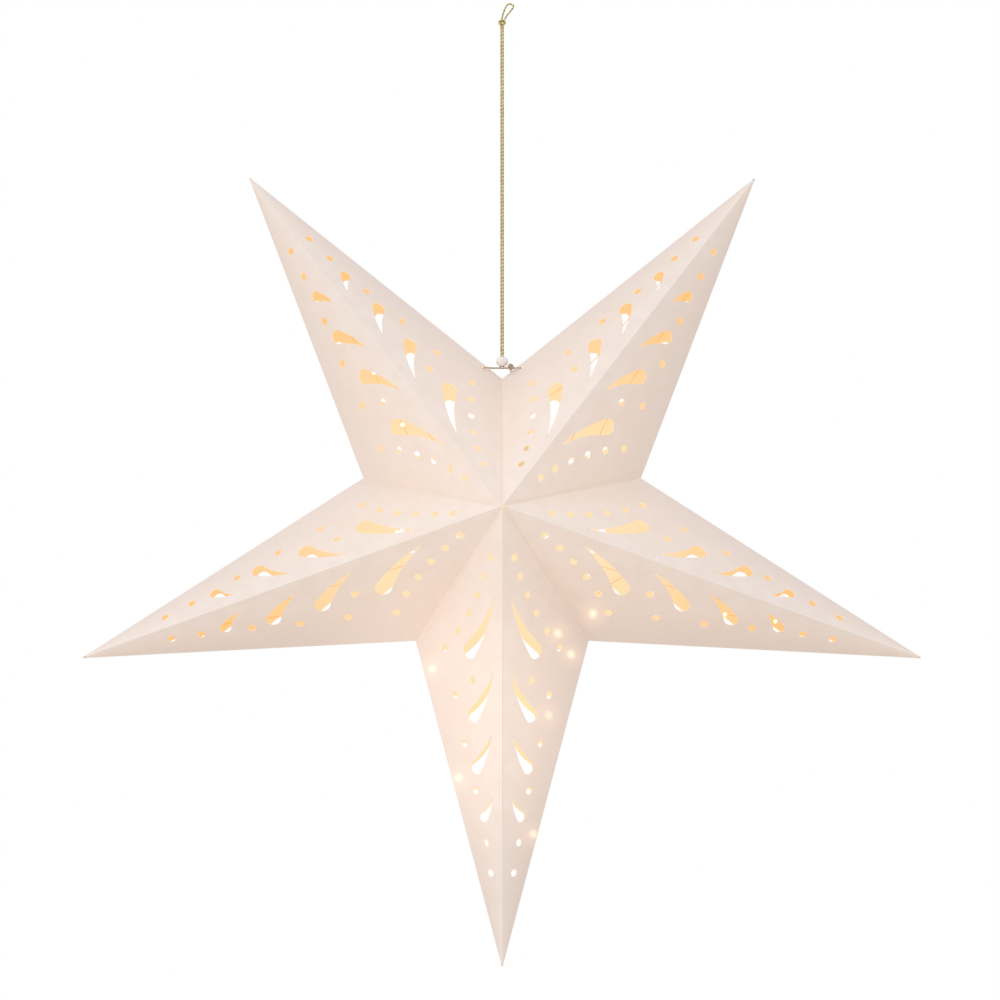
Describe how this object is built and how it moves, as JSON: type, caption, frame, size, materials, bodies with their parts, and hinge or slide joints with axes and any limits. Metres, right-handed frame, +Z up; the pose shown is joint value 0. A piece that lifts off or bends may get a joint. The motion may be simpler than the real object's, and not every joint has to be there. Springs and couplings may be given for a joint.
{
  "type": "paper star lantern",
  "caption": "Hanging five-pointed star lantern of folded paper with drop and dot cut-outs, lit from inside by a battery string of tiny lights, on a gold cord with a bead.",
  "frame": {"origin": "the hanging point: the inside top of the small cord loop", "axes": "+Z up along the cord, -Y out of the star's front, +X to the right seen from the front"},
  "size_m": [0.5964, 0.1686, 0.7024],
  "materials": {
    "star_paper": "matte, lets light through",
    "gold_cord": "twisted metallic thread",
    "brown_cord": "twisted thread, dull",
    "pearl_bead": "pearl",
    "case_plastic": "moulded",
    "cell_steel": "satin",
    "contact_metal": "plated strip",
    "switch_plastic": "moulded",
    "fine_wire": "lacquered copper",
    "light_drop": "clear resin, lit from inside"
  },
  "bodies": {
    "hanger": {"hanging_cord": "gold_cord", "top_knot": "gold_cord"},
    "bead": {"bead": "pearl_bead"},
    "lantern": {"upper_left_front_right": "star_paper", "seam_cord": "brown_cord", "tie_knot": "brown_cord", "battery_case": "case_plastic", "coin_cells": "cell_steel", "contact_plate": "contact_metal", "contact_springs": "contact_metal", "switch_body": "switch_plastic", "lights_wire": "fine_wire", "lights": "light_drop"},
    "battery_cover": {"battery_cover": "case_plastic"},
    "switch_knob": {"switch_knob": "switch_plastic"},
    "upper_left_back_right": {"upper_left_back_right": "star_paper"},
    "upper_left_front_left": {"upper_left_front_left": "star_paper"},
    "upper_left_back_left": {"upper_left_back_left": "star_paper"},
    "left_front_upper": {"left_front_upper": "star_paper", "left_front_flap": "star_paper"},
    "left_back_upper": {"left_back_upper": "star_paper", "left_back_flap": "star_paper"},
    "left_front_lower": {"left_front_lower": "star_paper"},
    "left_back_lower": {"left_back_lower": "star_paper"},
    "bottom_front_left": {"bottom_front_left": "star_paper", "bottom_front_flap": "star_paper"},
    "bottom_back_left": {"bottom_back_left": "star_paper", "bottom_back_flap": "star_paper"},
    "bottom_front_right": {"bottom_front_right": "star_paper"},
    "bottom_back_right": {"bottom_back_right": "star_paper"},
    "right_front_lower": {"right_front_lower": "star_paper", "right_front_flap": "star_paper"},
    "right_back_lower": {"right_back_lower": "star_paper", "right_back_flap": "star_paper"},
    "right_front_upper": {"right_front_upper": "star_paper"},
    "right_back_upper": {"right_back_upper": "star_paper"},
    "upper_right_front_right": {"upper_right_front_right": "star_paper", "upper_right_front_flap": "star_paper"},
    "upper_right_back_right": {"upper_right_back_right": "star_paper", "upper_right_back_flap": "star_paper"},
    "upper_right_front_left": {"upper_right_front_left": "star_paper"},
    "upper_right_back_left": {"upper_right_back_left": "star_paper"}
  },
  "joints": [
    {"name": "bead_slide", "type": "slide", "parent": "hanger", "child": "bead", "axis": [0, 0, 1], "range_m": [0, 0.2485]},
    {"name": "cord_twist", "type": "hinge", "parent": "hanger", "child": "lantern", "pos_m": [-0.0061, 0, -0.27256], "axis": [0, 0, 1], "range_deg": [-180, 180]},
    {"name": "cover_slide", "type": "slide", "parent": "lantern", "child": "battery_cover", "axis": [0, 0, -1], "range_m": [0, 0.04]},
    {"name": "switch_slide", "type": "slide", "parent": "lantern", "child": "switch_knob", "axis": [1, 0, 0], "range_m": [0, 0.003]},
    {"name": "fold", "type": "hinge", "parent": "lantern", "child": "upper_left_front_left", "pos_m": [-0.19151, 0, -0.13236], "axis": [0.5675, -0.2602, -0.7812], "range_deg": [0, 81], "deforming": ["seam_cord", "lights_wire", "lights"]},
    {"name": "upper_left_right_edge", "type": "hinge", "parent": "lantern", "child": "upper_left_back_right", "pos_m": [-0.19151, 0, -0.13236], "axis": [0.777, 0, -0.6295], "range_deg": [0, 81]},
    {"name": "upper_left_left_edge", "type": "hinge", "parent": "upper_left_front_left", "child": "upper_left_back_left", "pos_m": [-0.19151, 0, -0.13236], "axis": [-0.3585, 0, 0.9335], "range_deg": [0, 81]},
    {"name": "upper_left_left_valley", "type": "hinge", "parent": "upper_left_front_left", "child": "left_front_upper", "pos_m": [-0.10623, -0.00035, -0.35502], "axis": [-0.7392, 0.6292, 0.2402], "range_deg": [0, 114]},
    {"name": "left_ridge", "type": "hinge", "parent": "left_front_upper", "child": "left_front_lower", "pos_m": [-0.3061, 0, -0.48503], "axis": [0.9183, -0.2602, 0.2984], "range_deg": [0, 81]},
    {"name": "left_upper_edge", "type": "hinge", "parent": "left_front_upper", "child": "left_back_upper", "pos_m": [-0.3061, 0, -0.48503], "axis": [0.8388, 0, 0.5445], "range_deg": [0, 81]},
    {"name": "left_lower_edge", "type": "hinge", "parent": "left_front_lower", "child": "left_back_lower", "pos_m": [-0.3061, 0, -0.48503], "axis": [-0.9986, 0, -0.0525], "range_deg": [0, 81]},
    {"name": "left_bottom_valley", "type": "hinge", "parent": "left_front_lower", "child": "bottom_front_left", "pos_m": [-0.06798, -0.00035, -0.47273], "axis": [-0.4569, 0.6292, -0.6288], "range_deg": [0, 114]},
    {"name": "bottom_ridge", "type": "hinge", "parent": "bottom_front_left", "child": "bottom_front_right", "pos_m": [-0.0061, 0, -0.703], "axis": [0, -0.2602, 0.9656], "range_deg": [0, 81]},
    {"name": "bottom_left_edge", "type": "hinge", "parent": "bottom_front_left", "child": "bottom_back_left", "pos_m": [-0.0061, 0, -0.703], "axis": [-0.2587, 0, 0.966], "range_deg": [0, 81]},
    {"name": "bottom_right_edge", "type": "hinge", "parent": "bottom_front_right", "child": "bottom_back_right", "pos_m": [-0.0061, 0, -0.703], "axis": [-0.2587, 0, -0.966], "range_deg": [0, 81]},
    {"name": "bottom_right_valley", "type": "hinge", "parent": "bottom_front_right", "child": "right_front_lower", "pos_m": [0.05578, -0.00035, -0.47273], "axis": [0.4569, 0.6292, -0.6288], "range_deg": [0, 114]},
    {"name": "right_ridge", "type": "hinge", "parent": "right_front_lower", "child": "right_front_upper", "pos_m": [0.2939, 0, -0.48503], "axis": [-0.9183, -0.2602, 0.2984], "range_deg": [0, 81]},
    {"name": "right_lower_edge", "type": "hinge", "parent": "right_front_lower", "child": "right_back_lower", "pos_m": [0.2939, 0, -0.48503], "axis": [-0.9986, 0, 0.0525], "range_deg": [0, 81]},
    {"name": "right_upper_edge", "type": "hinge", "parent": "right_front_upper", "child": "right_back_upper", "pos_m": [0.2939, 0, -0.48503], "axis": [0.8388, 0, -0.5445], "range_deg": [0, 81]},
    {"name": "right_upper_right_valley", "type": "hinge", "parent": "right_front_upper", "child": "upper_right_front_right", "pos_m": [0.09403, -0.00035, -0.35502], "axis": [0.7392, 0.6292, 0.2402], "range_deg": [0, 114]},
    {"name": "upper_right_ridge", "type": "hinge", "parent": "upper_right_front_right", "child": "upper_right_front_left", "pos_m": [0.17931, 0, -0.13236], "axis": [-0.5675, -0.2602, -0.7812], "range_deg": [0, 81]},
    {"name": "upper_right_right_edge", "type": "hinge", "parent": "upper_right_front_right", "child": "upper_right_back_right", "pos_m": [0.17931, 0, -0.13236], "axis": [-0.3585, 0, -0.9335], "range_deg": [0, 81]},
    {"name": "upper_right_left_edge", "type": "hinge", "parent": "upper_right_front_left", "child": "upper_right_back_left", "pos_m": [0.17931, 0, -0.13236], "axis": [0.777, 0, 0.6295], "range_deg": [0, 81]}
  ],
  "couplings": [
    {"joint": "upper_left_right_edge", "follows": "fold", "ratio": 0.99},
    {"joint": "upper_left_left_edge", "follows": "fold", "ratio": 0.99},
    {"joint": "upper_left_left_valley", "follows": "fold", "ratio": 1.4},
    {"joint": "left_ridge", "follows": "fold", "ratio": 1},
    {"joint": "left_upper_edge", "follows": "fold", "ratio": 0.99},
    {"joint": "left_lower_edge", "follows": "fold", "ratio": 0.99},
    {"joint": "left_bottom_valley", "follows": "fold", "ratio": 1.4},
    {"joint": "bottom_ridge", "follows": "fold", "ratio": 1},
    {"joint": "bottom_left_edge", "follows": "fold", "ratio": 0.99},
    {"joint": "bottom_right_edge", "follows": "fold", "ratio": 0.99},
    {"joint": "bottom_right_valley", "follows": "fold", "ratio": 1.4},
    {"joint": "right_ridge", "follows": "fold", "ratio": 1},
    {"joint": "right_lower_edge", "follows": "fold", "ratio": 0.99},
    {"joint": "right_upper_edge", "follows": "fold", "ratio": 0.99},
    {"joint": "right_upper_right_valley", "follows": "fold", "ratio": 1.4},
    {"joint": "upper_right_ridge", "follows": "fold", "ratio": 1},
    {"joint": "upper_right_right_edge", "follows": "fold", "ratio": 0.99},
    {"joint": "upper_right_left_edge", "follows": "fold", "ratio": 0.99}
  ]
}
